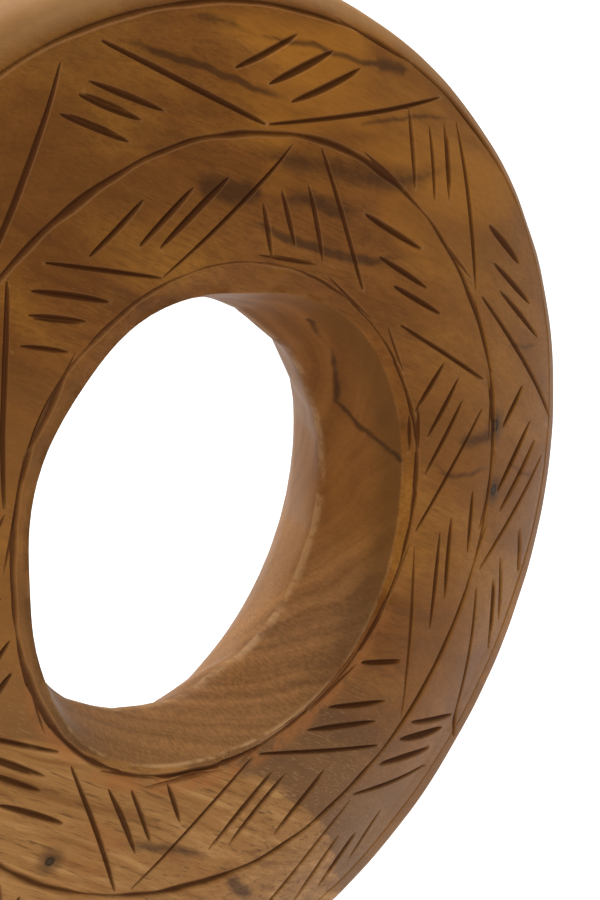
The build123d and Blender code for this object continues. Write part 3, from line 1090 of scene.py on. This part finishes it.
def build_ring():
    points, faces, marks = ring_mesh()
    cut = marks["cut"]
    radial = np.hypot(points[:, 0], points[:, 2])
    swell = rumple(points, 17, 0.30, 1) + rumple(points, 7, 0.10, 2)
    wall = np.clip((THROAT[0] + 6 - radial) / 4, 0, 1) * (cut <= 0)
    swell = swell + wall * rumple(points * np.array((1, 0.5, 1)), 11, 0.9, 3)
    out = points / np.maximum(radial, 1)[:, None] * np.array((1, 0, 1))
    rim_share = np.clip((radial - 84) / 6, 0, 1) + np.clip((42 - radial) / 4, 0, 1)
    points = points + out * (swell * rim_share)[:, None]
    lift = np.sign(points[:, 1]) * swell * (1 - np.clip(rim_share, 0, 1)) * 0.7
    points[:, 1] = points[:, 1] + lift
    points[:, 2] = np.maximum(points[:, 2], SEAT) + RING_Z
    material = teak(
        "ring teak", (0, 0, RING_Z), 31, (78, 77), sapwood=148.9,
        line=[wall_spot(*spot) for spot in WALL_STREAK],
        knots=[(front_spot(angle, place), size) for angle, place, size in RING_KNOTS], hole=True,
    )
    make_piece("carved_ring", points, faces, material, "head_ring", marks)


def build_body(material):
    low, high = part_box("body")
    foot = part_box("base")[1].z / MM
    top = high.z / MM
    chest = foot + CHEST_H
    neck = chest + SHOULDER_H
    profile = [(0, low.z / MM), (TENON_R, low.z / MM), (TENON_R, foot)]
    profile += line((TENON_R, foot), (FOOT_R - 0.6, foot), 3)
    profile += arc((FOOT_R - 0.6, foot), (FOOT_R, foot + 1), 0.2, 3)
    profile += arc((FOOT_R, foot + 1), (CHEST_R, chest), -2.2, 90)
    profile += arc((CHEST_R, chest), (NECK_R, neck), 4.2, 22)
    ring_h = (top - neck) / NECK_RINGS
    for i in range(NECK_RINGS):
        z = neck + i * ring_h
        profile += arc((NECK_R, z), (NECK_R, z + ring_h), 3.0, 12)
    profile += line((NECK_R, top), (1, top), 3)
    profile += [(0, top)]
    carved_lines = ((FOOT_R, foot + 6), (FOOT_R, foot + 9), (CHEST_R - 0.2, chest - 8))
    profile, depths = notched(profile, carved_lines, 0.7, 0.7)
    radius, height = profile[:, 0], profile[:, 1]
    on_neck = (height > neck + 0.5) & (radius > 13)
    # the valleys between the neck's rings are painted dark like the cuts, partly dirt and oil and partly
    # painted shade
    depths = np.maximum(depths, np.clip((14.6 - radius) / 2.5, 0, 0.4) * on_neck)
    wear = np.clip((radius - 15.6) / 1.2, 0, 0.6) * on_neck
    marks = {"cut": all_round(depths, BODY_COUNT), "wear_and_highlight": all_round(wear, BODY_COUNT)}
    points, faces = lathe(profile, BODY_COUNT)
    radial = np.hypot(points[:, 0], points[:, 1])
    side = radial > NECK_R - 1.5
    bump = np.zeros(len(points))
    front = points[:, 1] < 0
    for x, z, size, swell in BREASTS_AND_NAVEL:
        away = np.hypot(points[:, 0] - x, points[:, 2] - (foot + z)) / size
        bump = np.maximum(bump, np.where(front & side, swell * np.clip(1 - away**2, 0, 1) ** 0.8, 0))
    swell = rumple(points, 14, 0.35, 6) + rumple(points, 6, 0.12, 7)
    points = pushed_out(points, (bump + swell) * side)
    make_piece("carved_body", points, faces, material, "body", marks)


def build_arm(side, material):
    node = "left_arm" if side > 0 else "right_arm"
    low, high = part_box(node)
    middle = (low + high) / 2 / MM
    reach = high.x / MM if side > 0 else -low.x / MM
    tenon_end = ARM_SEAT_X - ARM_TENON_H
    tip_x = reach - 4.2  # where the rounding of the tip starts
    profile = [(0, tenon_end), (ARM_TENON_R, tenon_end), (ARM_TENON_R, ARM_SEAT_X)]
    profile += line((ARM_TENON_R, ARM_SEAT_X), (ARM_ROOT_R, ARM_SEAT_X), 2)
    profile += arc((ARM_ROOT_R, ARM_SEAT_X), (ARM_TIP_R, tip_x), -0.3, 46)
    profile += arc((ARM_TIP_R, tip_x), (2.2, reach), 1.6, 10)
    profile += [(0, reach)]
    notches = [(7.5, ARM_SEAT_X + (reach - ARM_SEAT_X) * share) for share in (0.62, 0.70, 0.78)]
    profile, depths = notched(profile, notches, 0.6, 0.6)
    wear = 0.6 * (profile[:, 1] > reach - 2.5)
    marks = {"cut": all_round(depths, ARM_COUNT), "wear_and_highlight": all_round(wear, ARM_COUNT)}
    points, faces = lathe(profile, ARM_COUNT)
    points = np.column_stack((points[:, 2] * side, points[:, 0] * side, points[:, 1] + middle.z))
    radial = np.hypot(points[:, 1], points[:, 2] - middle.z)
    swell = rumple(points, 10, 0.3, 8)
    points[:, 1] += points[:, 1] / np.maximum(radial, 1) * swell
    points[:, 2] += (points[:, 2] - middle.z) / np.maximum(radial, 1) * swell
    make_piece("carved_" + node, points, faces, material, node, marks)


def build_base(material):
    low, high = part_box("base")
    radius = (high.x - low.x) / 2 / MM
    bottom = low.z / MM
    top = high.z / MM
    profile = [(0, bottom), (TENON_R, bottom)]
    profile += line((TENON_R, bottom), (radius - BASE_CHAMFER, bottom), 4)
    profile += line((radius - BASE_CHAMFER, bottom), (radius, bottom + BASE_CHAMFER), 0.7)
    profile += line((radius, bottom + BASE_CHAMFER), (radius, top - BASE_EDGE), 1.2)
    profile += arc((radius, top - BASE_EDGE), (radius - BASE_EDGE, top), 1.6, 10)
    profile += line((radius - BASE_EDGE, top), (1, top), 1.6)
    profile += [(0, top)]
    profile, depths = notched(profile, ((radius, bottom + 10), (radius - 10, top)), 0.9, 0.9)
    wear = 0.55 * (np.abs(profile[:, 0] - radius + 1.8) < 1.2) * (profile[:, 1] > top - 3.5)
    marks = {"cut": all_round(depths, BASE_COUNT), "wear_and_highlight": all_round(wear, BASE_COUNT)}
    points, faces = lathe(profile, BASE_COUNT)
    radial = np.hypot(points[:, 0], points[:, 1])
    swell = rumple(points, 20, 0.35, 9) + rumple(points, 8, 0.1, 10)
    points = pushed_out(points, swell * np.clip((radial - 50) / 4, 0, 1))
    make_piece("carved_base", points, faces, material, "base", marks)


def felt_material():
    n = Nodes("felt")
    place = n.object_place()
    fuzz = n.noise(place, 2.2, 5.0, 0.7, 0.6)
    tone = n.noise(place, 0.12, 2.0)
    color = n.ramp(fuzz, [(0.3, (0.020, 0.012, 0.008)), (0.7, (0.075, 0.048, 0.034))])
    color = n.tint(color, tone, 0.3, (0.05, 0.034, 0.026))
    n.surface("Base Color", color)
    n.surface("Roughness", 0.95)
    n.surface("Sheen Weight", 0.4)
    n.surface("Normal", n.bump(fuzz, 0.0003, 0.8))
    return n.material


def build_felt():
    low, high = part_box("felt_disc")
    radius = (high.x - low.x) / 2 / MM
    top = high.z / MM
    side = radius - 0.5
    profile = [(0, 0)] + line((1, 0), (side, 0), 3) + arc((side, 0), (side, top), 0.5, 6)
    profile += line((side, top), (1, top), 3) + [(0, top)]
    points, faces = lathe(profile, 220)
    radial = np.hypot(points[:, 0], points[:, 1])
    fray = rumple(points, 2.5, 0.25, 12) * (radial > radius - 3)
    points[:, :2] *= (1 + fray / np.maximum(radial, 1))[:, None]
    make_piece("felt_pad", points, faces, felt_material(), "felt_disc")


def steel_material():
    n = Nodes("screw steel")
    wear = n.noise(n.object_place(), 0.9, 4.0, 0.6)
    n.surface("Base Color", n.ramp(wear, [(0.3, (0.42, 0.38, 0.30)), (0.7, (0.62, 0.59, 0.52))]))
    n.surface("Metallic", 1.0)
    n.surface("Roughness", n.math("ADD", 0.28, n.times(wear, 0.2)))
    n.surface("Normal", n.bump(wear, 0.00004, 0.4))
    return n.material


def dowel_material():
    n = Nodes("dowel beech")
    grain = n.grain(n.object_place(), (1.6, 1.6, 0.08), 4.0, 0.6)
    n.surface("Base Color", n.ramp(grain, [(0.3, (0.46, 0.29, 0.15)), (0.7, (0.66, 0.47, 0.28))]))
    n.surface("Roughness", 0.6)
    n.surface("Normal", n.bump(grain, 0.0001, 0.4))
    return n.material


def build_stage():
    """A plain pale floor and soft light from above."""
    size = 6.0
    mesh = bpy.data.meshes.new("floor")
    corners = [(-size, -size, 0), (size, -size, 0), (size, size, 0), (-size, size, 0)]
    mesh.from_pydata(corners, [], [(0, 1, 2, 3)])
    floor = bpy.data.objects.new("floor", mesh)
    bpy.context.scene.collection.objects.link(floor)
    n = Nodes("pale floor")
    n.surface("Base Color", (0.9, 0.9, 0.9, 1))
    n.surface("Roughness", 0.9)
    mesh.materials.append(n.material)

    world = bpy.data.worlds.new("studio")
    bpy.context.scene.world = world
    world.use_nodes = True
    background = world.node_tree.nodes["Background"]
    background.inputs["Color"].default_value = (1, 1, 1, 1)
    background.inputs["Strength"].default_value = 0.55

    def soft_light(name, place, aim, side, power):
        light = bpy.data.lights.new(name, "AREA")
        light.shape = "DISK"
        light.size = side
        light.energy = power
        lamp = bpy.data.objects.new(name, light)
        lamp.location = place
        lamp.rotation_euler = (Vector(aim) - Vector(place)).to_track_quat("-Z", "Y").to_euler()
        bpy.context.scene.collection.objects.link(lamp)

    soft_light("key", (-0.9, -0.8, 1.5), (0, 0, 0.25), 0.9, 12)
    soft_light("top", (0.1, 0.9, 1.8), (0, 0.3, 0), 1.8, 48)


def build_camera():
    """A camera in front, to the doll's right and above, aimed a little off the middle of the ring's face."""
    side = radians(41.95)
    rise = radians(20.9)
    distance = 12 * GROOVE_R[1] * MM
    to_camera = Vector((-sin(side) * cos(rise), -cos(side) * cos(rise), sin(rise)))
    right = Vector((cos(side), -sin(side), 0))
    up = to_camera.cross(right)
    face_centre = Vector((0, -GROOVE_Y[1] * MM, RING_Z * MM))
    aim = face_centre + right * 0.01564 + up * 0.01157
    data = bpy.data.cameras.new("camera")
    data.sensor_width = 36
    data.lens = 194.4
    camera = bpy.data.objects.new("camera", data)
    camera.location = face_centre + to_camera * distance
    camera.rotation_euler = (aim - camera.location).to_track_quat("-Z", "Y").to_euler()
    bpy.context.scene.collection.objects.link(camera)
    bpy.context.scene.camera = camera


def build_all():
    build_ring()
    body = teak("body teak", (0, 0, 90), 90, (8, 46))
    build_body(body)
    for side in (-1, 1):
        build_arm(side, teak("arm teak " + ("left" if side > 0 else "right"), (0, 0, 116), 0, (6, 30)))
    build_base(teak("base teak", (0, 0, 12), 4, (70, 20)))
    build_felt()
    for node, material in (("base_screw", steel_material()), ("head_dowel", dowel_material())):
        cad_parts[node].data.materials.clear()
        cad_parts[node].data.materials.append(material)
    build_stage()
    build_camera()
    bpy.context.scene.view_settings.view_transform = "Standard"


build_all()
